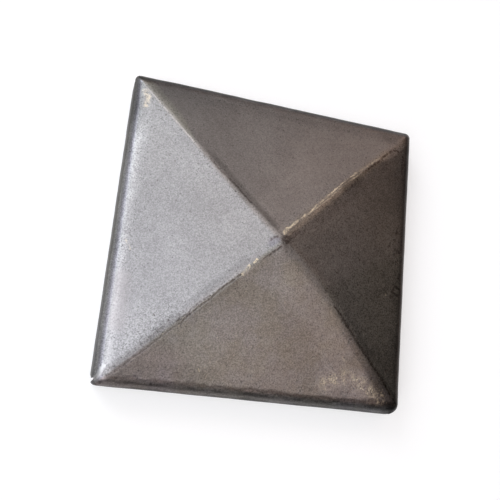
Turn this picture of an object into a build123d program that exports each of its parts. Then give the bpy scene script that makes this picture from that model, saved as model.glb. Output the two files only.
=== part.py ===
from build123d import *
import math
import os

# Post cap pressed from one piece of sheet steel: a low four-sided crown over a short skirt.
# Millimetres. The origin is the middle of the rim, and +Z points up through the tip of the crown.

# Sheet and post
sheet_thickness = 2.0
post_width = 80.0  # outside of the square tube that the cap covers
post_clearance = 0.5  # room between the tube and the skirt, on each side

# Heights of the outside, up to where its flat faces would meet if no bend were rounded
eaves_height = 10.3  # rim to the line between skirt and crown
crown_rise = 9.8  # that line to the tip

# Inside bend radii of the sheet
eaves_bend = 1.8  # between skirt and crown
hip_bend = 6.0  # between two faces of the crown, and at its tip
corner_bend = 0.5  # between two sides of the skirt, and up over the eaves

# Notch that opens the skirt beside each corner, narrowing upwards
notch_turn = 37.0  # degrees between the notch and the corner's diagonal
notch_mouth = 2.8  # width at the rim, on the outside
notch_root = 0.7  # width at its top, on the outside
notch_root_drop = 1.2  # from the eaves line down to its top
skirt_end_radius = 0.8  # rounding of the skirt's lower edge on both sides of the mouth

inner_width = post_width + 2 * post_clearance
outer_width = inner_width + 2 * sheet_thickness
eaves_radius = eaves_bend + sheet_thickness
hip_radius = hip_bend + sheet_thickness
corner_radius = corner_bend + sheet_thickness
bend_axis = inner_width / 2 - corner_bend  # X and Y of the upright axis that a corner is bent about
slope = math.atan(crown_rise / (outer_width / 2))
notch_top = eaves_height - notch_root_drop
notch_flare = (notch_mouth - notch_root) / notch_top
overshoot = 1.0  # how far the cutting shapes pass the sheet


def pressed_form(width, tip, hip, eaves, corner):
    """Solid square block under a pyramid, with its hips, eaves and corners rounded to these radii."""
    half = width / 2
    foot = tip - half * math.tan(slope)
    setback = eaves * math.tan((math.pi / 2 - slope) / 2)
    roll_foot = (half, foot - setback)
    roll_head = (half - setback * math.cos(slope), foot + setback * math.sin(slope))
    with BuildPart() as waste:
        with BuildSketch(Plane.XZ):
            with BuildLine():
                TangentArc(roll_foot, roll_head, tangent=(0, 1))
                Polyline(
                    roll_head,
                    (roll_head[0], tip),
                    (half + overshoot, tip),
                    (half + overshoot, roll_foot[1]),
                    roll_foot,
                )
            make_face()
        extrude(amount=half + overshoot, both=True)
    with BuildPart() as form:
        with BuildSketch():
            Rectangle(width, width)
        extrude(amount=foot)
        loft([form.faces().sort_by(Axis.Z)[-1], Vertex(0, 0, tip)])
        fillet(form.edges().group_by(Axis.Z)[-1], hip)
        # The waste outside the eaves roll goes on all four sides, which mitres the rolls at the corners
        with PolarLocations(0, 4):
            add(waste.part, mode=Mode.SUBTRACT)
        fillet(form.edges().filter_by(Axis.Z), corner)
    return form.part


def notch_level(height, width):
    """Section of the punch: a triangle from the bend axis, as wide as given where the skirt ends."""
    reach = corner_radius + overshoot
    half = width / 2 * reach / corner_radius
    with BuildSketch(Plane.XY.offset(height)) as level:
        with Locations(Location((bend_axis, bend_axis), 45 - notch_turn)):
            Polygon((0, 0), (reach, -half), (reach, half), align=None)
    return level.sketch


# The outside and the inside of the sheet, one thickness apart measured square to the crown
outside_tip = eaves_height + crown_rise
inside_tip = outside_tip - sheet_thickness / math.cos(slope)
outside = pressed_form(outer_width, outside_tip, hip_radius, eaves_radius, corner_radius)
inside = pressed_form(inner_width, inside_tip, hip_bend, eaves_bend, corner_bend)

# Punch for one notch, pointing at the bend axis, so that its cut stands square to the sheet
with BuildPart() as punch:
    mouth_level = notch_level(-overshoot, notch_mouth + notch_flare * overshoot)
    loft([mouth_level, notch_level(notch_top, notch_root)], ruled=True)

with BuildPart() as post_cap:
    add(outside)
    add(inside, mode=Mode.SUBTRACT)
    # All four notches stand to the same side of their corners
    with PolarLocations(0, 4):
        add(punch.part, mode=Mode.SUBTRACT)
    rim = post_cap.faces().group_by(Axis.Z)[0]
    skirt_ends = rim.edges().filter_by(GeomType.BSPLINE)
    fillet(skirt_ends, skirt_end_radius)

post_cap.part.label = "post_cap"

os.makedirs("parts", exist_ok=True)
export_step(post_cap.part, "parts/post_cap.step")
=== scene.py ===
import math

import bpy
import numpy as np
from mathutils import Matrix, Vector


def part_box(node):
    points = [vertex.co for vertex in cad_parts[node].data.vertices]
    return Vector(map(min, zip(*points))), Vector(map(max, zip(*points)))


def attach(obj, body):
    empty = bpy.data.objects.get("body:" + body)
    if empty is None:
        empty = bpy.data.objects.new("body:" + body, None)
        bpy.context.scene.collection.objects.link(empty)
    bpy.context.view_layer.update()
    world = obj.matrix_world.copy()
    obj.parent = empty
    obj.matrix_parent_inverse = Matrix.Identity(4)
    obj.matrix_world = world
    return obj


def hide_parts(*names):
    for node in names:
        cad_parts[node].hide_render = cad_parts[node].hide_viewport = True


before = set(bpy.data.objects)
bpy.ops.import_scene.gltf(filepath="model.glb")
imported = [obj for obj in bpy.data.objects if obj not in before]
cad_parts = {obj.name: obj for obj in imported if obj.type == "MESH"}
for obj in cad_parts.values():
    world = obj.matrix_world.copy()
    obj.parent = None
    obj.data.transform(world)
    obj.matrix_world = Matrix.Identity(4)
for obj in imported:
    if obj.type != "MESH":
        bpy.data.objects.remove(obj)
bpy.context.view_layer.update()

# A square post cap pressed from raw sheet steel, on a pale floor. Sizes are in millimetres until a
# mesh is made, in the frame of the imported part: the rim on Z 0, its middle at the origin, tip up.
MM = 0.001
NODE = "post_cap"
node_low, node_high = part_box(NODE)

# The sheet and its bends
HALF = (node_high.x - node_low.x) / 2 / MM
DIAGONAL = 1 / math.sqrt(2)
CORNER_REACH = HALF / DIAGONAL  # from the middle to where a corner would be sharp
TOP = node_high.z / MM
SHEET = 2.0
EAVES = 10.3  # rim to where the flat skirt and the flat crown would meet
RISE = 9.8  # that line to where the four flat faces would meet
SLOPE = math.atan(RISE / HALF)
EAVES_BEND = 1.8  # inside radii
HIP_BEND = 6.0
CORNER_BEND = 0.5
BEND_AXIS = HALF - SHEET - CORNER_BEND
OUTER_CORNER = CORNER_BEND + SHEET
FULL_TURN = math.pi / 2 - SLOPE  # from the crown's slope down to the skirt

# The crown's tip stands a little off the middle, as the press left it
TIP_SHIFT = np.array([0.27, -0.67])
TIP_DROP = 0.05

# Plan radius of each hip, how far it leans to the left as seen from the tip, both at the tip and at
# the eaves, and the radius of each corner of the skirt. The corners go round in this order.
BACK_RIGHT, BACK_LEFT, FRONT_LEFT, FRONT_RIGHT = range(4)
HIP_AT_TIP = (1.7, 1.4, 1.6, 2.6)
HIP_AT_EAVES = (1.7, 1.0, 1.9, 1.0)
LEAN_AT_TIP = (1.0, 0.45, 0.3, 2.3)
LEAN_AT_EAVES = (0.1, 0.6, 0.3, 0.5)
LEAN_WIDTH = 4.0  # of the strip beside a hip that leans with it
LEAN_START = 14.0  # half width of the ring where the lean is full
SKIRT_CORNER = (1.5, 1.4, 1.6, 3.1)
SMALLEST_CORNER = 0.4
ROUNDEST_RING = 0.95  # share of its half width that a ring's corners may take

# Notch beside each corner
NOTCH_TURN = math.radians(8.0)  # from the square of the side to the notch's middle
NOTCH_MOUTH = 2.8
NOTCH_ROOT = 0.7
NOTCH_TOP = EAVES - 1.2
NOTCH_FLARE = (NOTCH_MOUTH - NOTCH_ROOT) / NOTCH_TOP
NOTCH_ROUND = 0.35  # height over which its top closes
NOTCH_REACH = 5.0  # how far along the skirt the mesh makes room for it
SKIRT_END = 1.0  # rounding of the skirt's lower edge beside the mouth
RIM_BREAK = 0.25  # rounding of the rim's edges

# Spacing of the mesh
CROWN_STEP = 0.75
INSIDE_STEP = 1.25
COLUMN_FINE = 0.24
COLUMN_COARSE = 0.78
COLUMN_GROWTH = 0.06
ROLL_STEPS = 9  # rows of the eaves roll above the notches
NOTCH_LEVELS = (1.0, 0.985, 0.94, 0.86, 0.76, 0.62, 0.46, 0.3, 0.14, 0.0)  # and beside them
SKIRT_STEPS = 9
RIM_STEPS = 3
ARC_ANGLES = (11, 15, 20, 26, 33, 41, 50, 60, 70, 80, 90)  # degrees round a corner past its notch

# What the press and handling left: depth, length and seed of its waves
SLACK = (0.03, 26.0, 3)
RIPPLE = (0.03, 9.0, 5)
DAPPLE = (0.006, 2.4, 8)
SLACK_AT_EAVES = 0.4  # share of the slack that is left there, where the ripple and dapple are
EAVES_REACH = 3.0  # from the crown's edge inwards, over which they take the slack's place
WAVE_COUNT = 9
WAVE_SPREAD = (0.7, 1.5)  # least and most waves in that length
SHARP = math.radians(50)  # edges that turn more than this are not smoothed


class Skin:
    """Sizes of one side of the sheet, this far in from its outside."""

    def __init__(self, inset):
        outward = SHEET - inset
        self.inset = inset
        self.half = HALF - inset
        self.tip = EAVES + RISE - inset / math.cos(SLOPE)
        self.hip = HIP_BEND + outward
        self.roll = EAVES_BEND + outward
        setback = self.roll * math.tan(FULL_TURN / 2)
        self.roll_foot = self.tip - self.half * math.tan(SLOPE) - setback
        self.head_half = self.half - setback * math.cos(SLOPE)
        # The notch is cut outwards from the bend's axis, so it ends where the sheet leaves that axis
        self.notch_top = NOTCH_TOP
        if self.half - self.roll < BEND_AXIS - OUTER_CORNER + self.roll:
            reach = BEND_AXIS - (self.half - self.roll)
            self.notch_top = min(NOTCH_TOP, self.roll_foot + math.sqrt(self.roll**2 - reach**2))

    def crown_height(self, half):
        edge = self.hip * math.sin(SLOPE)
        if half < edge:
            return self.tip - self.hip / math.cos(SLOPE) + math.sqrt(self.hip**2 - half**2)
        return self.tip - half * math.tan(SLOPE)


class Row:
    """One level ring of the mesh."""

    def __init__(self, skin, half, height, turned, down, notched=False, inset=None):
        self.skin = skin
        self.half = half
        self.height = height
        self.turned = turned  # 0 on the crown, 1 on the skirt
        self.down = down  # way along the sheet from the crown's edge
        self.notched = notched
        self.inset = skin.inset if inset is None else inset
        self.share = min(1.0, half / skin.head_half)


def skin_rows(skin, step):
    """Rows of one side of the sheet, from the tip to where the rim's rounding starts."""
    rows = []
    for half in np.linspace(0, skin.head_half, round(skin.head_half / step) + 1)[:-1]:
        down = (half - skin.head_half) / math.cos(SLOPE)
        rows.append(Row(skin, half, skin.crown_height(half), 0.0, down))
    notch_rise = skin.notch_top - skin.roll_foot
    notch_turn = math.asin(notch_rise / skin.roll)
    above = np.linspace(FULL_TURN, notch_turn, ROLL_STEPS + 1)[:-1]
    beside = [math.asin(level * notch_rise / skin.roll) for level in NOTCH_LEVELS]
    for angle in [*above, *beside]:
        half = skin.half - skin.roll * (1 - math.cos(angle))
        height = skin.roll_foot + skin.roll * math.sin(angle)
        turned = 1 - angle / FULL_TURN
        rows.append(Row(skin, half, height, turned, skin.roll * (FULL_TURN - angle), angle <= notch_turn))
    for height in np.linspace(skin.roll_foot, RIM_BREAK, SKIRT_STEPS + 1)[1:]:
        down = skin.roll * FULL_TURN + skin.roll_foot - height
        rows.append(Row(skin, skin.half, height, 1.0, down, True))
    return rows


def rim_rows(skin, down):
    """Rows across the rim and round its two broken edges."""
    edge = []
    for angle in np.linspace(0, math.pi / 2, RIM_STEPS + 1)[1:]:
        edge.append((RIM_BREAK * (1 - math.cos(angle)), RIM_BREAK * (1 - math.sin(angle))))
    across = [*edge, (SHEET / 2, 0.0), *[(SHEET - inset, height) for inset, height in reversed(edge)]]
    return [Row(skin, HALF - inset, height, 1.0, down, True, inset) for inset, height in across]


def side_shares():
    """Places along half a side, from 0 at its middle to 1 at the corner, closer near the corner."""
    places = [0.0]
    while places[-1] < HALF:
        growth = COLUMN_FINE + COLUMN_GROWTH * places[-1]
        places.append(places[-1] + min(COLUMN_COARSE, growth))
    return 1 - np.array(places[::-1]) / places[-1]


SIDE = side_shares()
ARC = np.radians((math.degrees(NOTCH_TURN), math.degrees(NOTCH_TURN), *ARC_ANGLES))
NOTCH_BEFORE = len(SIDE)  # the column on the side's edge of the notch
NOTCH_AFTER = NOTCH_BEFORE + 1  # and the one on the corner's edge
COLUMNS = len(SIDE) + len(ARC) + len(SIDE) - 2  # in a quarter
AROUND = 4 * COLUMNS


def notch_edges(row, radius):
    """Where the notch's two edges lie along the row, from where the corner's arc starts."""
    mouth = NOTCH_ROOT + NOTCH_FLARE * (NOTCH_TOP - row.height)
    depth = min(1.0, max(0.0, row.skin.notch_top - row.height) / NOTCH_ROUND)
    half_angle = math.atan(mouth * math.sqrt(1 - (1 - depth) ** 2) / 2 / OUTER_CORNER)
    reach = max(0.0, row.half - BEND_AXIS)
    edges = []
    for angle in (NOTCH_TURN - half_angle, NOTCH_TURN + half_angle):
        if angle < 0:
            edges.append(reach * math.tan(angle))
        else:
            edges.append(min(radius, max(reach, SMALLEST_CORNER)) * angle)
    return edges


def quarter_ring(row, corner):
    """Points of one quarter of a ring, from the middle of a side round the corner to the next."""
    crown = (1 - row.share) * HIP_AT_TIP[corner] + row.share * HIP_AT_EAVES[corner]
    crown *= row.skin.hip / (HIP_BEND + SHEET)
    skirt = max(SMALLEST_CORNER, SKIRT_CORNER[corner] - row.inset)
    turned = row.turned * row.turned * (3 - 2 * row.turned)
    radius = min((1 - turned) * crown + turned * skirt, ROUNDEST_RING * row.half)
    run = row.half - radius
    quarter = radius * math.pi / 2
    along = np.concatenate([(SIDE - 1) * run, ARC * radius, quarter + (1 - SIDE[-2:0:-1]) * run])
    height = np.full(len(along), row.height)
    if row.notched:
        middle = radius * NOTCH_TURN
        before, after = notch_edges(row, radius)
        away = np.abs(along - middle)
        room = np.maximum(0, 1 - away / NOTCH_REACH)
        on_side = np.arange(len(along)) <= NOTCH_BEFORE
        along = along + room * np.where(on_side, before - middle, after - middle)
        gap = np.abs(along - np.where(on_side, before, after))
        short = np.maximum(0, SKIRT_END - gap)
        lift = SKIRT_END - np.sqrt(SKIRT_END**2 - short**2)
        height = height + lift * max(0.0, 1 - row.height / row.skin.roll_foot)
    angle = np.clip(along / radius, 0, math.pi / 2)
    x = row.half - radius + radius * np.cos(angle) - np.maximum(0, along - quarter)
    y = row.half - radius + radius * np.sin(angle) + np.minimum(0, along)
    far = row.half / HALF
    lean = (1 - far) * LEAN_AT_TIP[corner] + far * LEAN_AT_EAVES[corner]
    lean *= min(1.0, row.half / LEAN_START) * (1 - row.turned) * DIAGONAL
    # Nothing leans at the middle of a side, where this quarter meets the next
    lean = lean * np.exp(-(((x - y) * DIAGONAL / LEAN_WIDTH) ** 2)) * (1 - ((x - y) / row.half) ** 2) ** 2
    return np.column_stack([x - lean, y + lean, height])


def ring(row):
    """The whole ring: its four quarters, moved towards the tip's own place."""
    quarters = []
    for corner in range(4):
        turn = Matrix.Rotation(corner * math.pi / 2, 3, "Z")
        quarters.append(quarter_ring(row, corner) @ np.array(turn).T)
    points = np.concatenate(quarters)
    inward = 1 - row.half / row.skin.half
    points[:, :2] += TIP_SHIFT * inward
    points[:, 2] -= TIP_DROP * inward
    return points


def waves(points, seed, size):
    """A smooth random field over the points, about one unit high, its waves about this long."""
    draw = np.random.default_rng(seed)
    direction = draw.normal(size=(WAVE_COUNT, 3))
    closeness = draw.uniform(*WAVE_SPREAD, WAVE_COUNT) * 2 * math.pi / size
    direction *= (closeness / np.linalg.norm(direction, axis=1))[:, None]
    phase = draw.uniform(0, 2 * math.pi, WAVE_COUNT)
    return np.sin(points @ direction.T + phase).sum(axis=1) / math.sqrt(WAVE_COUNT)


def ring_points(row, opened):
    """A ring's points, and for each column the number of its point. A closed notch has only one."""
    if row.half == 0:
        return [(*TIP_SHIFT, row.height - TIP_DROP)], [0] * AROUND
    points, numbers = [], []
    for column, point in enumerate(ring(row)):
        if opened or column % COLUMNS != NOTCH_AFTER:
            points.append(tuple(point))
        numbers.append(len(points) - 1)
    return points, numbers


def distinct(corners):
    """The corners of a face, without those that fall together."""
    return tuple(dict.fromkeys(corners))


def sheet_faces(index):
    """Faces between each ring and the next, open at the notches."""
    faces = []
    for above, below in zip(index, index[1:]):
        for column in range(AROUND):
            if column % COLUMNS == NOTCH_BEFORE:
                continue
            beside = (column + 1) % AROUND
            faces.append(distinct((above[column], below[column], below[beside], above[beside])))
    return faces


def notch_walls(index, first, last):
    """Faces through the sheet along both edges of each notch, from its outside to its inside."""
    faces = []
    for quarter in range(4):
        before = quarter * COLUMNS + NOTCH_BEFORE
        for step in range((last - first + 1) // 2):
            strip = (first + step, first + step + 1, last - step - 1, last - step)
            for column, turn in ((before, 1), (before + 1, -1)):
                corners = distinct(index[row][column] for row in strip)
                if len(corners) > 2:
                    faces.append(corners[::turn])
    return faces


def sheet_mesh(name):
    """The whole cap as one closed mesh, with the way down the sheet kept at every point."""
    outside, inside = Skin(0.0), Skin(SHEET)
    upper = skin_rows(outside, CROWN_STEP)
    lower = skin_rows(inside, INSIDE_STEP)[::-1]
    rows = [*upper, *rim_rows(outside, upper[-1].down), *lower]
    notched = [i for i, row in enumerate(rows) if row.notched]
    first, last = notched[0], notched[-1]
    points, down, inner, index = [], [], [], []
    for i, row in enumerate(rows):
        added, numbers = ring_points(row, first < i < last)
        index.append([len(points) + number for number in numbers])
        points += added
        down += [row.down] * len(added)
        inner += [row.inset / SHEET] * len(added)
    faces = sheet_faces(index) + notch_walls(index, first, last)
    mesh = bpy.data.meshes.new(name)
    mesh.from_pydata([Vector(point) * MM for point in points], [], faces)
    for attribute, values in (("down", down), ("inner", inner)):
        mesh.attributes.new(attribute, "FLOAT", "POINT").data.foreach_set("value", values)
    mesh.update()
    return mesh


def read(items, name, width=1):
    """What the items hold under this name, one row each."""
    values = np.zeros(len(items) * width, np.float32)
    items.foreach_get(name, values)
    return values.reshape(-1, width)


def dents(points, depth, size, seed):
    """How far waves of this depth move the points outwards, which is mostly less than nothing."""
    return depth * (waves(points, seed, size) - 1)[:, None]


def press_marks(mesh):
    """Moves the points of the finished form in by what the press and handling left on it."""
    points = read(mesh.vertices, "co", 3) / MM
    normals = read(mesh.vertex_normals, "vector", 3)
    down = read(mesh.attributes["down"].data, "value")
    inner = read(mesh.attributes["inner"].data, "value")
    bent = np.clip(1 + down / EAVES_REACH, 0, 1)
    slack = dents(points, *SLACK) * (1 - (1 - SLACK_AT_EAVES) * bent)
    creases = (dents(points, *RIPPLE) + dents(points, *DAPPLE)) * bent
    # Both sides of the sheet move the same way
    sides = 1 - 2 * np.round(inner)
    points += normals * sides * (slack + creases)
    points[:, :2] = np.clip(points[:, :2], -HALF, HALF)
    points[:, 2] = np.clip(points[:, 2], 0, TOP)
    mesh.vertices.foreach_set("co", (points * MM).ravel())
    mesh.update()


def make_cap():
    mesh = sheet_mesh("pressed_cap")
    press_marks(mesh)
    mesh.set_sharp_from_angle(angle=SHARP)
    cap = bpy.data.objects.new("pressed_cap", mesh)
    bpy.context.scene.collection.objects.link(cap)
    return cap


def new_material(name):
    material = bpy.data.materials.new(name)
    material.use_nodes = True
    material.node_tree.nodes.clear()
    return material


class Surface:
    """The nodes of a material or of the world, with short words to make them."""

    def __init__(self, tree):
        self.tree = tree

    def add(self, kind, inputs=None, **settings):
        node = self.tree.nodes.new(kind)
        for key, value in settings.items():
            setattr(node, key, value)
        for key, value in (inputs or {}).items():
            self.feed(node.inputs[key], value)
        return node

    def feed(self, socket, value):
        if isinstance(value, bpy.types.NodeSocket):
            self.tree.links.new(value, socket)
        else:
            socket.default_value = value

    def math(self, operation, *values):
        node = self.add("ShaderNodeMath", operation=operation)
        for socket, value in zip(node.inputs, values):
            self.feed(socket, value)
        return node.outputs[0]

    def chain(self, operation, values):
        """The first value, changed by each of the others in turn."""
        made = values[0]
        for value in values[1:]:
            made = self.math(operation, made, value)
        return made

    def times(self, *values):
        return self.chain("MULTIPLY", values)

    def plus(self, *values):
        return self.chain("ADD", values)

    def minus(self, *values):
        return self.chain("SUBTRACT", values)

    def most(self, *values):
        return self.chain("MAXIMUM", values)

    def least(self, *values):
        return self.chain("MINIMUM", values)

    def size(self, value):
        """The value without its sign."""
        return self.math("ABSOLUTE", value)

    def flip(self, mask):
        """1 where the mask is 0, and 0 where it is 1."""
        return self.minus(1.0, mask)

    def vector(self, operation, first, second=None, scale=None):
        node = self.add("ShaderNodeVectorMath", {0: first}, operation=operation)
        if second is not None:
            self.feed(node.inputs[1], second)
        if scale is not None:
            self.feed(node.inputs["Scale"], scale)
        return node.outputs["Value" if operation in ("DOT_PRODUCT", "DISTANCE") else "Vector"]

    def ramp(self, value, start, end, low=0.0, high=1.0):
        """Smooth change from low at start to high at end."""
        inputs = {"Value": value, "From Min": start, "From Max": end, "To Min": low, "To Max": high}
        return self.add("ShaderNodeMapRange", inputs, interpolation_type="SMOOTHSTEP").outputs[0]

    def between(self, value, start, full, full_end, end):
        """1 between full and full_end, fading to 0 at start and end."""
        return self.times(self.ramp(value, start, full), self.ramp(value, end, full_end))

    def noise(self, point, size, detail, roughness, seed):
        inputs = {"Vector": point, "W": seed, "Scale": 1 / size, "Detail": detail, "Roughness": roughness}
        return self.add("ShaderNodeTexNoise", inputs, noise_dimensions="4D").outputs[0]

    def mix(self, share, first, second):
        """The first colour, changed to the second by the share."""
        node = self.add("ShaderNodeMix", data_type="RGBA")
        self.feed(node.inputs[0], share)
        self.feed(node.inputs[6], first)
        self.feed(node.inputs[7], second)
        return node.outputs[2]

    def tint(self, colour, mask, tint):
        """The colour, times the tint where the mask is 1."""
        return self.mix(mask, colour, self.vector("MULTIPLY", colour, tint))

    def shade(self, tone, mask, share):
        """The tone, times the share where the mask is 1."""
        change = self.times(mask, self.flip(share))
        return self.times(tone, self.flip(change))


def display(red, green, blue):
    """A colour as a screen shows it, 0 to 255, as the linear colour of a node."""
    linear = []
    for value in (red, green, blue):
        value /= 255
        linear.append(value / 12.92 if value <= 0.04045 else ((value + 0.055) / 1.055) ** 2.4)
    return (*linear, 1.0)


# Bare steel, and what lies on it
STEEL = display(155, 155, 155)
BRASSY_GLINT = display(228, 213, 182)  # rubbed specks painted bright as glints, with a thin rust bloom
CREAM = display(226, 214, 192)
BROWN_TINT = (1.1, 0.97, 0.93)
GREEN_TINT = (0.98, 1.01, 0.95)
OLIVE_TINT = (1.03, 1.0, 0.9)
PURPLE_TINT = (1.01, 0.99, 1.01)
RUST_TINT = (1.06, 1.0, 0.91)
RUST_EDGE_TINT = (1.12, 0.94, 0.83)
# Painted blue of the sky's reflection, on the left roll and the tip
BLUE_TINT = (1.0, 0.98, 1.07)
WARM_TINT = (1.07, 0.99, 0.98)
COOL_TINT = (0.97, 1.0, 1.06)
PLUM_TINT = (1.02, 0.96, 1.0)
METAL_ROUGHNESS = 0.42
SCALE_ROUGHNESS = 0.5
ROUGHNESS_SPREAD = 0.12
BUMP_STRENGTH = 0.55
BUMP_DEPTH = 0.05
GRAIN_RELIEF, SPECK_RELIEF, SCUFF_RELIEF = 0.8, 0.5, 1.2  # shares of that depth
HIP_BLEND = 0.4  # from a hip's ridge to where a face has its own look alone

# Random fields over the sheet: length, detail, roughness and seed
GRAIN = (0.36, 2.0, 0.6, 1.0)
COARSE = (1.5, 3.0, 0.6, 2.0)
CLOUDS = (9.0, 4.0, 0.55, 3.0)
SPECKS = (0.5, 1.0, 0.5, 4.0)
SPARKLE = (0.45, 2.0, 0.6, 6.0)
GLINT_GAPS = (2.2, 1.0, 0.5, 7.0)
ROUGH_EDGE = (0.7, 2.0, 0.6, 15.0)

# Random distances, by which the edges of the marks wander: the distance, then a field as above
EAVES_SWAY = (0.6, 5.0, 1.0, 0.6, 11.0)
EAVES_FINE_SWAY = (0.4, 1.4, 4.0, 0.6, 12.0)
DARK_SIDE_SWAY = (1.2, 2.5, 2.0, 0.6, 13.0)
FILM_SWAY = (0.5, 1.2, 2.0, 0.6, 14.0)
MARK_SWAY = 0.9  # of all marks on the crown, and its length

# How strong the fine texture is: the range of its field, and the share of the tone either way
GRAIN_RANGE, GRAIN_DEPTH = (0.2, 0.8), 0.32
COARSE_RANGE, COARSE_DEPTH = (0.25, 0.75), 0.06
CLOUD_RANGE, CLOUD_DEPTH = (0.3, 0.7), 0.06
TEXTURE = {"left": 0.92, "front": 1.2, "back": 0.74, "right": 1.5}
EXTRA_TEXTURE = 0.4  # where the sheet is pitted, mottled or dark
RUB_SMOOTH, STREAK_SMOOTH = 0.5, 0.8  # share of it that is rubbed away under the sheen and the painted streak

# A speck is where its field rises over this level, which is lower where specks crowd: beside the
# hips and the eaves, and where the left face is pitted
SPECK_LEVEL = 0.64
SPECK_FADE = 0.08
SPECK_TONE = 0.64
CROWDING = 0.09
PIT_CROWDING = 0.05
CROWD_REACH, CROWD_FULL = 6.0, 0.5
EAVES_CROWD = -1.5  # way down to where they crowd most at the eaves
EAVES_CROWD_PULL = 1.4  # and how much sooner than beside a hip they thin out

# Wear and painted light round the eaves: tone of the steel against the way down the sheet, in mm
# from the crown's edge, for each side. The left roll carries a painted highlight, with dark scale and
# painted dark reflection below it; the other rolls darken with scale and painted shade, and the front
# one also has painted dark and light reflection bands.
EAVES_FROM, EAVES_TO = -10.0, 10.0
EAVES_WEAR_AND_LIGHT = {
    "left": (
        (-9.9, 1.0), (-2.4, 1.0), (-1.2, 1.12), (-0.3, 1.28), (0, 1.3), (0.35, 1.17), (0.65, 1.06),
        (0.95, 1.1), (1.25, 0.98), (1.55, 0.91), (1.87, 0.84), (2.5, 0.62), (2.85, 0.65), (3.2, 0.5),
        (3.7, 0.3), (7.5, 0.15),
    ),
    "front": (
        (-9.9, 1.03), (-1.2, 1.1), (-0.9, 1.12), (-0.6, 1.1), (-0.3, 0.86), (0, 0.62), (0.3, 0.56),
        (0.6, 0.78), (0.9, 0.95), (1.2, 0.8), (1.5, 0.57), (1.9, 0.38), (2.2, 0.39), (2.8, 0.46),
        (4, 0.17),
    ),
    "back": (
        (-9.9, 1.03), (-4, 1.01), (-2.6, 0.95), (-1.6, 0.9), (0.3, 0.96), (0.5, 0.92), (0.85, 0.71),
        (1.45, 0.24), (2.2, 0.09), (6, 0.08),
    ),
    "right": (
        (-9.9, 0.95), (-5.2, 0.98), (-2.6, 0.93), (-0.9, 0.8), (-0.2, 0.64), (0.3, 0.45), (0.7, 0.22),
        (1.3, 0.11), (2.4, 0.12), (6, 0.13),
    ),
}
RAGGED = {"left": 0.5, "front": 1.0, "back": 0.28, "right": 0.28}  # how far its edges wander
BROWNED = {"left": 0.0, "front": 0.45, "back": 1.0, "right": 1.0}  # how brown the scale is

# The corners on the crown's two turned axes: the first goes from front left to back right, the second
# from back left to front right. All marks on the crown are placed on these axes.
CORNERS = {
    "back_right": (CORNER_REACH, 0),
    "back_left": (0, -CORNER_REACH),
    "front_left": (-CORNER_REACH, 0),
    "front_right": (0, CORNER_REACH),
}

# How the sides' tones change: the side, the range down the sheet as start, full, end of full and end,
# what the change goes along, which is an axis, the way down or the distance off a corner, and where it
# begins and ends there, with the tones at both ends
NO_START, NO_END = (-99, -98), (98, 99)
ALL = (*NO_START, *NO_END)
SIDE_TONES = (
    ("left", ALL, "down", (-10, -20, 1.0, 1.02)),
    ("left", ALL, "back_left", (20, 8, 1.0, 0.85)),
    # The left roll's painted highlight and the strip below it dim towards the back left corner and the back
    ("left", (-2.0, -0.5, *NO_END), "back_left", (24, 10, 1.0, 0.7)),
    ("left", (1.0, 1.6, *NO_END), "back_left", (26, 12, 1.0, 0.85)),
    ("left", (0.0, 0.6, 0.8, 1.4), "y", (20, 28, 1.0, 0.8)),
    ("front", ALL, "down", (-9, -22, 1.0, 0.9)),
    ("front", ALL, "front_left", (36, 12, 1.0, 0.77)),
    # The front roll's painted reflections are lighter at its left end and darker to the right
    ("front", (-0.5, 0.0, *NO_END), "x", (-38, -4, 1.38, 1.0)),
    ("front", (-0.5, 0.0, *NO_END), "x", (-16, 34, 1.0, 0.74)),
    ("front", (-5.5, -3.5, -1.2, -0.2), "x", (-4, -18, 1.0, 0.9)),
    ("back", ALL, "down", (-18, -28, 1.0, 0.88)),
    ("back", ALL, "x", (-42, 14, 0.74, 1.13)),
    ("right", ALL, "down", (-12, -30, 1.0, 1.15)),
    ("right", ALL, "front_right", (28, 14, 1.0, 0.74)),
    ("right", (-3.2, -1.6, *NO_END), "y", (14, 2, 1.0, 0.95)),
)

# The right face also darkens towards the back right corner, but clear of the hip there: the range
# along the hip over which this shade moves off it, and how far off it is at both ends
BACK_RIGHT_SHADE, BACK_RIGHT_TONE = (42, 16), 0.58
CLEAR_OF_HIP = (38, 47, -1.0, 1.7)

# Shade and shine beside the hips: a range of each turned axis, from the ridges, as start, full, end of
# full and end, and the tone there
HIP_SHADES = (
    ((-61, -58, -34, -30), (-1.9, -0.3, 0.3, 1.2), 0.84),
    ((-32, -28, -12, -8), (-3.0, -2.2, -0.8, -0.2), 0.84),
    ((-14, -10, -6, -3), (-1.9, -0.3, 0.3, 1.2), 0.88),
    ((-0.6, -0.35, -0.15, 0.05), (-60, -57, -36, -31), 1.5),
    ((-61, -54, -36, -26), (-3.0, -0.5, 0.5, 1.5), 0.78),
    ((-46, -40, -6, -3), (1.2, 2.2, 5.0, 9.0), 0.95),
    ((-13, -4, 1.2, 2.2), (3, 11, 30, 40), 1.24),
    ((-2.4, -1.6, 0.0, 0.6), (24, 32, 60, 62), 0.7),
    ((-0.3, 0.2, 2.2, 3.2), (24, 30, 38, 46), 0.8),
    ((-3.2, -2.0, -0.4, 0.2), (38, 46, 60, 62), 0.62),
    ((-4.4, -3.4, 1.0, 2.0), (43, 51, 60, 62), 0.6),
    ((-0.9, -0.5, 0.7, 1.1), (-22, -19, -13, -11), 0.8),
    ((-0.1, 0.2, 1.0, 1.7), (-60, -57, -46, -41), 1.3),
    ((1.0, 2.5, 18, 26), (-14, -10, -1.0, -0.4), 1.13),
    ((10, 14, 30, 36), (0.9, 1.6, 3.6, 5.5), 0.82),
    ((22, 29, 32, 36), (-1.4, -0.5, 1.2, 2.4), 0.68),
    ((48, 51, 60, 62), (-7, -5, -1.2, -0.4), 0.82),
)

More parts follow.
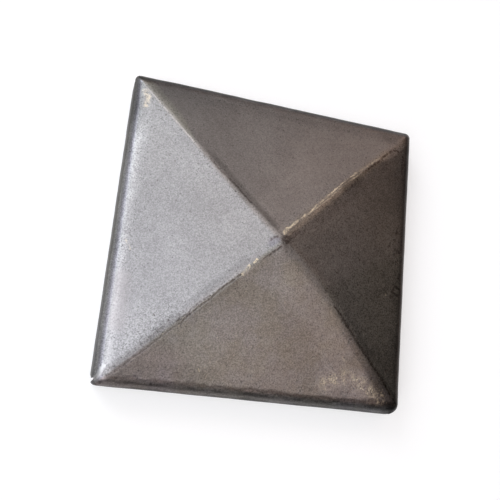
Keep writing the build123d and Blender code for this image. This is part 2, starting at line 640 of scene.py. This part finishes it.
# The same, on one face alone
FACE_SHADES = (
    ("back", (0.1, 0.9, 1.6, 3.0), (-34, -26, -5, -2), 0.72),
    ("front", (-34, -27, -16, -13), (-2.0, -1.0, 1.0, 2.6), 0.8),
)

# Soft areas of the crown: how far from their line they fade out, how far they are full, and the line
# Painted highlights on the left roll: its wide rubbed sheen and the streaks it ends in
WIDE_RUB_SHEEN = (3.6, 0.8, ((-38.0, -16.5), (-46.0, -8.5)))
BROAD_STREAK = (1.4, 0.3, ((-49.8, -4.9), (-53.4, -2.2)))
STREAK = (0.85, 0.2, ((-54.9, -1.7), (-56.8, -0.9), (-58.4, -0.6)))
FILM = (2.0, 0.5, ((3, -0.1), (46, 0.1)))
GOLD = (3.2, 0.4, ((-12.0, 38.6), (-7.7, 40.0), (-5.2, 43.0), (-3.6, 47.0), (-2.8, 52.2)))
# Painted sheen under the golden patch
GOLD_GLOW = (5.0, 1.2, ((-11.5, 38.5), (-7, 40.5), (-4.5, 43), (-5.5, 47)))
# Painted shade on the rounded left side of the tip
SHADED_TIP = (1.7, 0.6, ((-2.6, -0.3), (-0.9, 0.2)))
SMUDGE = (1.15, 0.3, ((-1.9, -54.0), (-2.2, -52.0), (-4.2, -50.7)))

# What they, the scuffs with their painted crease shade, and the underside do to the tone, or how strong
# they are
FILM_TONE, GLOW_TONE, SCUFF_AND_SHADE_TONE, INSIDE_TONE = 1.2, 1.18, 0.2, 0.7
BROAD_STREAK_GAIN, STREAK_GAIN = 0.12, 0.65
SHADED_TIP_STRENGTH, SMUDGE_STRENGTH = 0.28, 0.6

# Other areas, by where they begin and are full along an axis or down the sheet
MOTTLED = (-1.5, 0.0)  # down the left side
PITTED = ((-24, -36), (-10, -4))  # the left face near the front left corner, on both turned axes
DARK_SIDE, DARK_SIDE_SLANT, DARK_SIDE_TONE = (15.0, 19.0), 0.32, 0.86  # the right face's front part
RUBBED, RUBBED_TONE = (-33, -38), 1.2  # the back left hip, along it
RUBBED_EDGE = (0.8, 0.1)  # and across it
RUBBED_GROWTH, RUBBED_EXTRA = (-34, -45), 2.0  # it grows wider by this towards the corner
FRONT_LEFT_HIP = ((-61, -58, -8, -4), (-1.9, -0.6, 0.6, 1.6))
SCALE_START, SCALE_ROUGH = (-0.6, 1.2), (2.5, 4.5)  # mill scale, down the sheet
BLUE_STRIP, OLIVE_STRIP = (0.7, 1.2, 1.9, 2.7), (2.9, 3.6)  # down the left side

# Levels of the fields between which gold, scuffs and painted glints come in
GOLD_LEVELS = (0.36, 0.6)
SCUFF_LEVELS = (0.3, 0.6)
SMUDGE_LEVELS = (0.35, 0.6)
GLINT_LEVELS = (0.36, 0.56)
FLECK_LEVELS, FLECK_STRENGTH = (0.44, 0.62), 0.55
STRAY_LEVELS, STRAY_STRENGTH = (0.66, 0.76), 0.45
LEAST_MARK = 0.25  # what is left of scuffs and bright lines in their gaps

# Thin marks on the crown: the dark ones are scuffs and painted crease shade along the hips, the bright
# ones painted glints. A line has its half width, its strength and its places.
DARK_LINES = (
    (0.12, 0.75, ((-1.2, 1.95), (-7.0, 1.75))),
    (0.13, 0.7, ((-14.3, 1.2), (-19.5, 1.05), (-24.6, 1.3), (-27.6, 1.15))),
    (0.12, 0.8, ((-27.6, 1.15), (-31.1, 1.3), (-33.9, 1.5))),
    (0.08, 0.7, ((-23.7, 0.55), (-29.1, 0.4), (-30.7, 0.65), (-34.1, 0.7))),
    (0.1, 0.42, ((-33.9, 1.5), (-38.7, 1.3), (-41.3, 1.3), (-46.8, 1.2), (-50.4, 1.0), (-53.7, 1.0))),
    (0.08, 0.4, ((-52.4, 2.4), (-54.5, 2.5))),
    (0.1, 0.35, ((-38.3, -0.6), (-40.0, -0.5), (-42.9, -0.1))),
    (0.14, 0.7, ((1.9, 24), (1.95, 26.4), (1.65, 34), (1.5, 41), (1.5, 47.5), (1.0, 53.2))),
    (0.15, 0.75, ((36, 0.35), (42, 0.5), (46.5, 0.25), (49.3, 0.7), (50.7, 1.9))),
    (0.22, 0.5, ((51.1, 3.9), (47.3, 7.5))),
    (0.1, 0.55, ((-0.35, -28.5), (-0.45, -24), (0.1, -18), (0.2, -12))),
    (0.14, 0.7, ((-2.6, -1.05), (-1.5, -1.15), (-0.4, -0.7))),
    (0.5, 0.45, ((0.8, 1.5), (5.5, 1.7))),
    (0.22, 0.7, ((29.7, 23.7), (30.3, 25.3))),
    (0.25, 0.7, ((22.3, 31.2), (23.0, 32.9))),
    (0.3, 0.7, ((21.5, 32.0), (20.6, 32.3), (21.3, 34.1))),
    (0.3, 0.6, ((25.8, 30.1), (25.2, 30.6))),
)
BRIGHT_LINES = (
    (0.14, 0.85, ((1.5, -0.3), (2.5, -0.6), (8.5, -0.65), (12.3, -0.4), (15, -0.85), (18.6, -0.75))),
    (0.14, 0.85, ((18.6, -0.75), (23.6, -1.0))),
    (0.09, 0.7, ((23.6, -1.0), (27.6, -1.2), (31.5, -1.1), (35.2, -0.8), (42.7, -0.2))),
    (0.06, 0.55, ((8, -0.1), (15, -0.2), (20, -0.1), (27, -0.5), (35, -0.1))),
    (0.24, 1.0, ((-8.6, 0.75), (-9.6, 0.95))),
    (0.32, 1.0, ((-11.2, 0.8), (-12.8, 1.35), (-13.8, 1.5))),
    (0.45, 1.0, ((1.9, -0.4), (3.0, -0.7))),
    (0.08, 0.45, ((-37.0, 16.9), (-36.0, 16.3))),
    (0.08, 0.4, ((-37.1, 14.4), (-36.8, 13.8))),
    (0.08, 0.4, ((-33.6, 14.3), (-33.2, 13.7))),
    (0.07, 0.35, ((-31.2, -23.9), (-31.9, -21.0))),
    (0.08, 0.4, ((48.7, -2.8), (49.3, -1.5))),
    (0.1, 0.35, ((-4.3, 35.3), (-4.3, 37.8))),
    (0.09, 0.45, ((-8.8, 14.4), (-8.6, 14.0))),
    (0.1, 0.3, ((18.1, 31.8), (18.3, 31.4))),
    (0.1, 0.3, ((17.8, 34.6), (18.0, 34.4))),
)

# A spot has its place, its radius and its strength
LEFT_SPOTS = (
    (-35.7, -0.9, 0.28, 0.9), (-37.7, -4.2, 0.25, 0.7), (-32.6, -0.6, 0.25, 0.7),
    (-15.0, -31.7, 0.22, 0.6), (-14.8, -24.5, 0.2, 0.6), (-13.8, -20.0, 0.2, 0.5),
    (-10.1, -35.8, 0.2, 0.6), (-8.4, -35.4, 0.22, 0.6), (-8.1, -33.3, 0.2, 0.6),
    (-4.3, -20.4, 0.22, 0.6), (-1.9, -45.2, 0.22, 0.6), (-1.3, -29.6, 0.3, 0.8),
    (-1.2, -17.0, 0.25, 0.6), (-0.4, -26.8, 0.35, 0.8),
)
FRONT_SPOTS = (
    (-48.4, 9.05, 0.3, 0.6), (-1.1, 46.4, 0.28, 0.8), (-0.45, 38.1, 0.4, 0.4),
)
BACK_SPOTS = (
    (9.1, -17.0, 0.2, 0.5), (16.1, -10.5, 0.2, 0.5), (17.2, -23.3, 0.22, 0.55),
    (21.4, -22.2, 0.2, 0.5), (23.7, -23.4, 0.22, 0.55), (23.8, -33.2, 0.25, 0.5),
)
RIGHT_SPOTS = (
    (0.45, 33.7, 0.4, 0.5), (0.8, 1.3, 1.2, 0.8), (1.4, 28.1, 0.45, 0.6), (4.1, 47.5, 0.4, 0.7),
    (8.4, 17.2, 0.25, 0.6), (16.9, 11.5, 0.4, 0.4), (20.4, 1.9, 0.25, 0.5), (26.2, 1.2, 0.4, 0.7),
    (28.9, 1.05, 0.35, 0.7), (31.9, 0.65, 0.3, 0.7),
)
RIGHT_EDGE_SPOTS = (
    (11.2, 26.6, 0.3, 0.55), (12.1, 23.9, 0.35, 0.75), (15.5, 30.5, 0.3, 0.65),
    (17.1, 18.8, 0.3, 0.8), (18.2, 26.9, 0.3, 0.6), (18.4, 31.5, 0.4, 0.7),
    (19.4, 33.1, 0.45, 0.8), (21.5, 26.9, 0.3, 0.65), (24.2, 22.4, 0.35, 0.65),
    (24.3, 18.8, 0.25, 0.55), (26.5, 26.0, 0.4, 0.8), (27.7, 26.7, 0.4, 0.75),
    (28.5, 24.6, 0.45, 0.8), (28.6, 21.6, 0.4, 0.65), (31.3, 21.5, 0.45, 0.75),
    (33.6, 20.2, 0.5, 0.7),
)
DARK_SPOTS = LEFT_SPOTS + FRONT_SPOTS + BACK_SPOTS + RIGHT_SPOTS + RIGHT_EDGE_SPOTS
LINE_FADE = 0.3  # beyond a dark line's half width
GLINT_FADE = 0.22


class Steel(Surface):
    """The cap's raw steel. Places on it are in millimetres."""

    def __init__(self, tree):
        super().__init__(tree)
        place = self.add("ShaderNodeTexCoord").outputs["Object"]
        self.point = self.vector("SCALE", place, scale=1 / MM)
        self.x, self.y = self.add("ShaderNodeSeparateXYZ", {0: self.point}).outputs[:2]
        self.down = self.add("ShaderNodeAttribute", attribute_name="down").outputs["Fac"]
        inner = self.add("ShaderNodeAttribute", attribute_name="inner").outputs["Fac"]
        self.outside = self.ramp(inner, 0.4, 0.1)
        self.inside = self.ramp(inner, 0.7, 0.95)
        self.crown = self.ramp(self.down, 2.0, 0.5)
        # Both turned axes are bent with the hips, which meet at the tip's own place
        rising = self.times(self.plus(self.x, self.y), DIAGONAL)
        falling = self.times(self.minus(self.x, self.y), DIAGONAL)
        tip = ((TIP_SHIFT[0] + TIP_SHIFT[1]) * DIAGONAL, (TIP_SHIFT[0] - TIP_SHIFT[1]) * DIAGONAL)
        self.rising = self.off_hip(rising, falling, tip[0], (BACK_LEFT, -1), (FRONT_RIGHT, 1))
        self.falling = self.off_hip(falling, rising, tip[1], (FRONT_LEFT, 1), (BACK_RIGHT, -1))
        beyond = self.ramp(self.rising, -HIP_BLEND, HIP_BLEND)
        across = self.ramp(self.falling, -HIP_BLEND, HIP_BLEND)
        self.sides = {
            "left": self.times(self.flip(beyond), self.flip(across)),
            "front": self.times(self.flip(beyond), across),
            "back": self.times(beyond, self.flip(across)),
            "right": self.times(beyond, across),
        }
        # The same axes, straight, and stirred a little, so that the marks have ragged edges
        turned = self.add("ShaderNodeCombineXYZ", {0: rising, 1: falling}).outputs[0]
        stir = self.add("ShaderNodeTexNoise", {"Vector": self.point, "Scale": 1 / MARK_SWAY, "Detail": 2.0})
        stirred = self.vector("SUBTRACT", stir.outputs["Color"], (0.5, 0.5, 0.5))
        stirred = self.vector("MULTIPLY", stirred, (MARK_SWAY, MARK_SWAY, 0.0))
        self.ragged = self.vector("ADD", turned, stirred)
        self.share_fields()
        self.share_areas()

    def share_fields(self):
        """Random fields that several looks share."""
        self.grain = self.noise(self.point, *GRAIN)
        self.coarse = self.noise(self.point, *COARSE)
        self.clouds = self.noise(self.point, *CLOUDS)
        self.sparkle = self.noise(self.point, *SPARKLE)
        self.rough_edge = self.noise(self.point, *ROUGH_EDGE)

    def share_areas(self):
        """Areas that several looks share, each 1 inside and 0 outside, and the ragged way down."""
        left, _, back, right = self.sides.values()
        # Wear and painted light round the eaves have a ragged edge, most of all at the front
        loose = self.by_side(RAGGED)
        ragged_down = self.plus(self.down, self.times(self.sway(*EAVES_SWAY), loose))
        self.ragged_down = self.plus(ragged_down, self.times(self.sway(*EAVES_FINE_SWAY), loose))
        # The left roll's rubbed sheen, a painted highlight, widens towards the front left corner and ends
        # as a painted highlight streak
        self.wide_rub_sheen = self.times(left, self.area(WIDE_RUB_SHEEN))
        self.broad_streak = self.times(left, self.area(BROAD_STREAK))
        self.streak = self.times(left, self.area(STREAK))
        pits = self.times(self.ramp(self.rising, *PITTED[0]), self.ramp(self.falling, *PITTED[1]))
        self.pitted = self.times(left, pits)
        self.specks = self.find_specks()
        # The right face is darker and greener towards the front, with a slanting edge
        slant = self.minus(self.falling, self.times(self.rising, DARK_SIDE_SLANT))
        edge = self.plus(slant, self.sway(*DARK_SIDE_SWAY))
        self.dark_side = self.times(right, self.ramp(edge, *DARK_SIDE))
        # The back left hip is rubbed, wider towards its corner
        width = self.times(self.ramp(self.falling, *RUBBED_GROWTH), RUBBED_EXTRA)
        band = self.ramp(self.minus(self.rising, width), *RUBBED_EDGE)
        self.rubbed = self.times(back, self.ramp(self.falling, *RUBBED), band)
        # Olive film where the back right hip was rubbed
        self.film = self.times(self.area(FILM, self.sway(*FILM_SWAY)), self.crown)
        # Scuffs and pits, whose dark lines along the hips are partly painted crease shade
        scuffs = self.most(self.lines(DARK_LINES, LINE_FADE), self.spots(DARK_SPOTS))
        gaps = self.ramp(self.rough_edge, *SCUFF_LEVELS, LEAST_MARK, 1.0)
        self.scuffs_and_crease_shade = self.times(scuffs, self.outside, gaps)
        # Painted shade on the rounded left side of the tip
        self.shaded_tip = self.times(left, self.area(SHADED_TIP))
        self.golden = self.times(self.area(GOLD), self.ramp(self.coarse, *GOLD_LEVELS))

    def find_specks(self):
        """Dark specks, which crowd beside the hips and the eaves, and where the left face is pitted."""
        hip_gap = self.least(self.size(self.rising), self.size(self.falling))
        eaves_gap = self.times(self.size(self.minus(self.down, EAVES_CROWD)), EAVES_CROWD_PULL)
        crowd = self.ramp(self.least(hip_gap, eaves_gap), CROWD_REACH, CROWD_FULL, 0.0, CROWDING)
        crowd = self.plus(crowd, self.times(self.pitted, PIT_CROWDING))
        level = self.minus(SPECK_LEVEL, self.times(crowd, self.ramp(self.coarse, 0.4, 0.6)))
        return self.ramp(self.minus(self.noise(self.point, *SPECKS), level), 0.0, SPECK_FADE)

    def off_hip(self, across, along, tip, first, second):
        """Distance across a hip and the one opposite, each given as its corner and its lean's way."""
        far = self.math("DIVIDE", self.size(along), CORNER_REACH)
        nearness = self.most(0.0, self.flip(far))
        leans = []
        for table in (LEAN_AT_TIP, LEAN_AT_EAVES):
            leans.append(self.ramp(along, -1, 1, table[first[0]] * first[1], table[second[0]] * second[1]))
        lean = self.plus(self.times(nearness, leans[0]), self.times(far, leans[1]))
        grown = self.least(1.0, self.times(far, HALF / LEAN_START))
        ridge = self.plus(self.times(nearness, tip), self.times(lean, grown))
        return self.minus(across, ridge)

    def by_side(self, values):
        """The number that each side's name has."""
        total = 0.0
        for side, value in values.items():
            total = self.plus(total, self.times(self.sides[side], value))
        return total

    def eaves_wear_and_light(self, down):
        """Tone of the sheet, with its wear and painted light, for the way down it, from the list of
        each side.
        """
        reach = {"Value": down, "From Min": EAVES_FROM, "From Max": EAVES_TO}
        place = self.add("ShaderNodeMapRange", reach).outputs[0]
        tones = {}
        for side, stops in EAVES_WEAR_AND_LIGHT.items():
            ramp = self.add("ShaderNodeValToRGB", {0: place})
            elements = ramp.color_ramp.elements
            elements.remove(elements[1])
            for i, (at, tone) in enumerate(stops):
                share = (at - EAVES_FROM) / (EAVES_TO - EAVES_FROM)
                element = elements[0] if i == 0 else elements.new(share)
                element.position = share
                element.color = (tone / 2, tone / 2, tone / 2, 1)  # halved, as a tone may pass 1
            tones[side] = self.times(ramp.outputs[0], 2.0)
        return self.by_side(tones)

    def near(self, points):
        """Distance on the crown from a line through these places."""
        nearest = None
        for first, second in zip(points, points[1:]):
            start = Vector((*first, 0))
            reach = Vector((*second, 0)) - start
            away = self.vector("SUBTRACT", self.ragged, start)
            share = self.vector("DOT_PRODUCT", away, reach / reach.length_squared)
            share = self.add("ShaderNodeClamp", {0: share}).outputs[0]
            gap = self.vector("DISTANCE", away, self.vector("SCALE", reach, scale=share))
            nearest = gap if nearest is None else self.least(nearest, gap)
        return nearest

    def area(self, kind, sway=0.0):
        """1 beside a line on the crown, fading out from it, with an edge that may sway."""
        end, full, points = kind
        return self.ramp(self.plus(self.near(points), sway), end, full)

    def lines(self, kinds, fade):
        masks = []
        for half_width, strength, points in kinds:
            masks.append(self.ramp(self.near(points), half_width + fade, half_width, 0.0, strength))
        return self.most(*masks)

    def spots(self, kinds):
        masks = []
        for rising, falling, radius, strength in kinds:
            gap = self.vector("DISTANCE", self.ragged, (rising, falling, 0))
            masks.append(self.ramp(gap, radius * 1.5, radius * 0.6, 0.0, strength))
        return self.most(*masks)

    def off_corner(self, corner):
        """Distance from a corner of the crown."""
        return self.vector("DISTANCE", self.ragged, (*CORNERS[corner], 0))

    def sway(self, reach, *field):
        """A random distance, mostly within the reach either way."""
        return self.times(self.minus(self.noise(self.point, *field), 0.5), reach * 4)

    def patch(self, rising, falling):
        """1 inside these ranges of both turned axes, from the hips' ridges."""
        return self.times(self.between(self.rising, *rising), self.between(self.falling, *falling))


def sheet_tone(s):
    """Tone of the bare sheet, whose fine texture is rubbed away and smoothed under the painted highlight
    at the front left corner.
    """
    mottled = s.times(s.sides["left"], s.ramp(s.down, *MOTTLED))
    strength = s.plus(s.by_side(TEXTURE), s.times(s.most(s.dark_side, s.pitted, mottled), EXTRA_TEXTURE))
    grain = s.ramp(s.grain, *GRAIN_RANGE, -GRAIN_DEPTH, GRAIN_DEPTH)
    coarse = s.ramp(s.coarse, *COARSE_RANGE, -COARSE_DEPTH, COARSE_DEPTH)
    rub = s.times(s.most(s.wide_rub_sheen, s.broad_streak), RUB_SMOOTH)
    kept = s.flip(s.most(rub, s.times(s.streak, STREAK_SMOOTH)))
    tone = s.plus(1.0, s.times(strength, s.plus(grain, coarse), kept))
    tone = s.times(tone, s.ramp(s.clouds, *CLOUD_RANGE, 1 - CLOUD_DEPTH, 1 + CLOUD_DEPTH))
    return s.shade(tone, s.times(s.specks, kept), SPECK_TONE)


def side_tone(s, tone):
    """Wear and painted light round the eaves, and how each side's tone changes from place to place."""
    tone = s.shade(tone, s.outside, s.eaves_wear_and_light(s.ragged_down))
    for side, down, along, change in SIDE_TONES:
        place = s.off_corner(along) if along in CORNERS else getattr(s, along)
        mask = s.times(s.sides[side], s.between(s.down, *down))
        tone = s.shade(tone, mask, s.ramp(place, *change))
    clear = s.ramp(s.minus(s.falling, s.ramp(s.rising, *CLEAR_OF_HIP)), 0.0, 1.0)
    mask = s.times(s.sides["right"], clear, s.ramp(s.off_corner("back_right"), *BACK_RIGHT_SHADE))
    tone = s.shade(tone, mask, BACK_RIGHT_TONE)
    return s.shade(tone, s.dark_side, DARK_SIDE_TONE)


def hip_tone(s, tone):
    """Shade and rubbed bands along the hips."""
    tone = s.shade(tone, s.rubbed, RUBBED_TONE)
    for side, rising, falling, share in FACE_SHADES:
        tone = s.shade(tone, s.times(s.sides[side], s.patch(rising, falling)), share)
    for rising, falling, share in HIP_SHADES:
        tone = s.shade(tone, s.patch(rising, falling), share)
    return s.shade(tone, s.times(s.film, s.sides["right"]), FILM_TONE)


def mark_tone(s, tone):
    """The painted streak of highlight at the front left corner, the painted glow under the golden
    patch, the painted shade of the tip, and scuffs and pits with painted crease shade.
    """
    gain = s.plus(s.times(s.broad_streak, BROAD_STREAK_GAIN), s.times(s.streak, STREAK_GAIN))
    tone = s.times(tone, s.plus(1.0, gain))
    tone = s.shade(tone, s.times(s.area(GOLD_GLOW), s.sides["front"]), GLOW_TONE)
    shaded_tip = s.times(s.shaded_tip, SHADED_TIP_STRENGTH)
    tone = s.shade(tone, s.most(s.scuffs_and_crease_shade, shaded_tip), SCUFF_AND_SHADE_TONE)
    return s.shade(tone, s.inside, INSIDE_TONE)


def steel_colour(s, tone):
    """The tone as a colour, with the tints of rust, scale and oil, and the painted blue of the sky's
    reflection.
    """
    left, front, _, right = s.sides.values()
    scaled = s.times(s.ramp(s.ragged_down, *SCALE_START), s.outside, s.by_side(BROWNED))
    near_eaves = s.times(front, s.ramp(s.down, -12, -5))
    rusty = s.times(right, s.ramp(s.down, -20, -4, 0.4, 1.0), s.ramp(s.y, 34, 12, 0.5, 1.0))
    # Painted sky reflection on the left roll, below its painted highlight
    blue_strip = s.times(left, s.between(s.down, *BLUE_STRIP), s.flip(s.streak))
    olive_strip = s.times(left, s.ramp(s.down, *OLIVE_STRIP), s.ramp(s.y, -28, -12, 0.0, 0.8))
    tints = (
        (s.most(scaled, s.times(s.scuffs_and_crease_shade, 0.7)), BROWN_TINT),
        (s.most(s.rubbed, s.times(s.dark_side, 0.5)), GREEN_TINT),
        (s.times(s.film, 0.7), OLIVE_TINT),
        (s.times(front, s.ramp(s.clouds, 0.45, 0.6), 0.4), PURPLE_TINT),
        (s.times(front, s.ramp(s.clouds, 0.6, 0.4, 0.3, 0.9)), OLIVE_TINT),
        (s.times(near_eaves, s.ramp(s.x, 4, 16)), COOL_TINT),
        (s.times(near_eaves, s.ramp(s.x, -14, -26)), PLUM_TINT),
        (rusty, RUST_TINT),
        (s.times(right, s.ramp(s.down, 0.3, 1.0)), RUST_EDGE_TINT),
        (blue_strip, BLUE_TINT),
        (olive_strip, OLIVE_TINT),
        (s.times(s.wide_rub_sheen, 0.3), WARM_TINT),
        (s.times(s.shaded_tip, 0.84), BLUE_TINT),
        (s.times(s.patch(*FRONT_LEFT_HIP), 0.4), WARM_TINT),
        (s.times(s.golden, 0.8), OLIVE_TINT),
    )
    colour = s.vector("SCALE", STEEL[:3], scale=tone)
    for mask, tint in tints:
        colour = s.tint(colour, mask, tint)
    return colour


def add_glints(s, colour):
    """Painted glints on rubbed specks on the hips, in a patch at the front right corner and here and
    there on the front face, and a cream smudge. Also gives how metallic the sheet is with them."""
    gaps = s.ramp(s.noise(s.point, *GLINT_GAPS), *GLINT_LEVELS, LEAST_MARK, 1.0)
    glints = s.times(s.lines(BRIGHT_LINES, GLINT_FADE), s.ramp(s.sparkle, *GLINT_LEVELS), gaps)
    flecks = s.times(s.golden, s.ramp(s.sparkle, *FLECK_LEVELS), FLECK_STRENGTH)
    strays = s.times(s.sides["front"], s.ramp(s.sparkle, *STRAY_LEVELS), STRAY_STRENGTH)
    # All these are painted glints
    painted_glints = s.times(s.most(glints, flecks, strays), s.crown, s.outside)
    smudge = s.times(s.area(SMUDGE), s.ramp(s.rough_edge, *SMUDGE_LEVELS), s.outside, SMUDGE_STRENGTH)
    colour = s.mix(smudge, colour, CREAM)
    colour = s.mix(painted_glints, colour, BRASSY_GLINT)
    return colour, s.flip(s.most(s.times(painted_glints, 0.9), s.times(smudge, 0.6)))


def raw_steel():
    material = new_material("raw_steel_worn")
    s = Steel(material.node_tree)
    tone = sheet_tone(s)
    for look in (side_tone, hip_tone, mark_tone):
        tone = look(s, tone)
    colour, metallic = add_glints(s, steel_colour(s, tone))
    roughness = s.ramp(s.ragged_down, *SCALE_ROUGH, METAL_ROUGHNESS, SCALE_ROUGHNESS)
    roughness = s.plus(roughness, s.times(s.minus(s.coarse, 0.5), ROUGHNESS_SPREAD))
    pits = s.plus(s.times(s.specks, SPECK_RELIEF), s.times(s.scuffs_and_crease_shade, SCUFF_RELIEF))
    height = s.minus(s.times(s.grain, GRAIN_RELIEF), pits)
    relief = {"Height": height, "Strength": BUMP_STRENGTH, "Distance": BUMP_DEPTH * MM}
    normal = s.add("ShaderNodeBump", relief).outputs[0]
    looks = {"Base Color": colour, "Metallic": metallic, "Roughness": roughness, "Normal": normal}
    shader = s.add("ShaderNodeBsdfPrincipled", looks)
    s.add("ShaderNodeOutputMaterial", {"Surface": shader.outputs[0]})
    return material


FLOOR_SIZE = 40.0
FLOOR_WHITE = (0.93, 0.92, 0.91, 1)
PAPER_GREY = (0.5, 0.5, 0.5, 1)  # what the camera sees of the floor's own colour
PAPER_GLOW = 0.56  # and the plain white added to it, so that it is white away from the shadow


def make_floor():
    mesh = bpy.data.meshes.new("floor")
    half = FLOOR_SIZE / 2
    corners = [(-half, -half, 0), (half, -half, 0), (half, half, 0), (-half, half, 0)]
    mesh.from_pydata(corners, [], [(0, 1, 2, 3)])
    floor = bpy.data.objects.new("floor", mesh)
    bpy.context.scene.collection.objects.link(floor)
    material = new_material("floor")
    s = Surface(material.node_tree)
    ray = s.add("ShaderNodeLightPath").outputs
    seen = s.most(ray["Is Camera Ray"], ray["Is Glossy Ray"], ray["Is Transmission Ray"])
    colour = s.mix(seen, FLOOR_WHITE, PAPER_GREY)
    plain = s.add("ShaderNodeBsdfDiffuse", {"Color": colour})
    glow = s.add("ShaderNodeEmission", {"Strength": s.times(seen, PAPER_GLOW)})
    both = s.add("ShaderNodeAddShader", {0: plain.outputs[0], 1: glow.outputs[0]})
    s.add("ShaderNodeOutputMaterial", {"Surface": both.outputs[0]})
    mesh.materials.append(material)
    return floor


# Camera: fitted to the photograph's outline
FOCAL_PIXELS = 650.0
FRAME_PIXELS = 500
SENSOR = 36.0
CAMERA_PLACE = Vector((-49.99, -41.62, 178.01))
CAMERA_TURN = Vector((-0.20786, -0.26926, 0.12773))  # its length is the angle, in radians


def make_camera():
    data = bpy.data.cameras.new("camera")
    data.sensor_width = SENSOR
    data.lens = FOCAL_PIXELS / FRAME_PIXELS * SENSOR
    data.clip_start = 0.01
    camera = bpy.data.objects.new("camera", data)
    bpy.context.scene.collection.objects.link(camera)
    upright = Matrix.Diagonal((1, -1, -1))
    world_to_lens = Matrix.Rotation(CAMERA_TURN.length, 3, CAMERA_TURN.normalized()) @ upright
    lens_to_world = world_to_lens.transposed() @ upright
    camera.matrix_world = Matrix.Translation(CAMERA_PLACE * MM) @ lens_to_world.to_4x4()
    bpy.context.scene.camera = camera


# Soft round lamps about the object: azimuth from +X and elevation in degrees, watts, colour
DAYLIGHT = (0.965, 1.0, 1.04)
DULL_DAYLIGHT = (0.98, 0.94, 1.08)
ROOM_LIGHT = (1.18, 0.96, 0.86)
WALL_LIGHT = (1.42, 0.9, 0.68)
LAMPS = {
    "window_back": (135, 35, 6.4, DAYLIGHT),
    "window_side": (180, 35, 2.6, DAYLIGHT),
    "window_front": (225, 35, 3.7, DAYLIGHT),
    "roof_side": (180, 60, 1.7, DULL_DAYLIGHT),
    "roof_front": (225, 60, 2.5, DAYLIGHT),
    "roof_top": (0, 90, 2.0, DAYLIGHT),
    "room_back": (90, 60, 1.4, ROOM_LIGHT),
    "wall_front": (315, 60, 0.6, WALL_LIGHT),
    "wall_back": (45, 35, 0.5, WALL_LIGHT),
}
LAMP_DISTANCE = 1.2
LAMP_SIZE = 0.7
WALL_TOP = 0.12  # sine of the walls' height above the horizon


def make_light(name, azimuth, elevation, watts, colour):
    data = bpy.data.lights.new(name, "AREA")
    data.shape = "DISK"
    data.size = LAMP_SIZE
    data.energy = watts
    data.color = colour
    turn, lift = math.radians(azimuth), math.radians(elevation)
    towards = Vector((math.cos(turn) * math.cos(lift), math.sin(turn) * math.cos(lift), math.sin(lift)))
    lamp = bpy.data.objects.new(name, data)
    lamp.location = towards * LAMP_DISTANCE
    lamp.rotation_mode = "QUATERNION"
    lamp.rotation_quaternion = (-towards).to_track_quat("-Z", "Y")
    bpy.context.scene.collection.objects.link(lamp)


def make_world():
    """A dark room, white to the camera and as far up as the pale walls reach."""
    world = bpy.data.worlds.new("studio")
    world.use_nodes = True
    bpy.context.scene.world = world
    s = Surface(world.node_tree)
    direction = s.add("ShaderNodeTexCoord").outputs["Generated"]
    height = s.add("ShaderNodeSeparateXYZ", {0: direction}).outputs[2]
    wall = s.ramp(height, WALL_TOP, WALL_TOP / 2)
    seen = s.most(s.add("ShaderNodeLightPath").outputs["Is Camera Ray"], wall)
    s.feed(s.tree.nodes["Background"].inputs["Strength"], seen)
    s.feed(s.tree.nodes["Background"].inputs["Color"], (1, 1, 1, 1))


cap = make_cap()
cap.data.materials.append(raw_steel())
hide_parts(NODE)
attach(cap, "root")
make_floor()
make_camera()
make_world()
for lamp, (azimuth, elevation, watts, colour) in LAMPS.items():
    make_light(lamp, azimuth, elevation, watts, colour)
bpy.context.scene.view_settings.view_transform = "Standard"
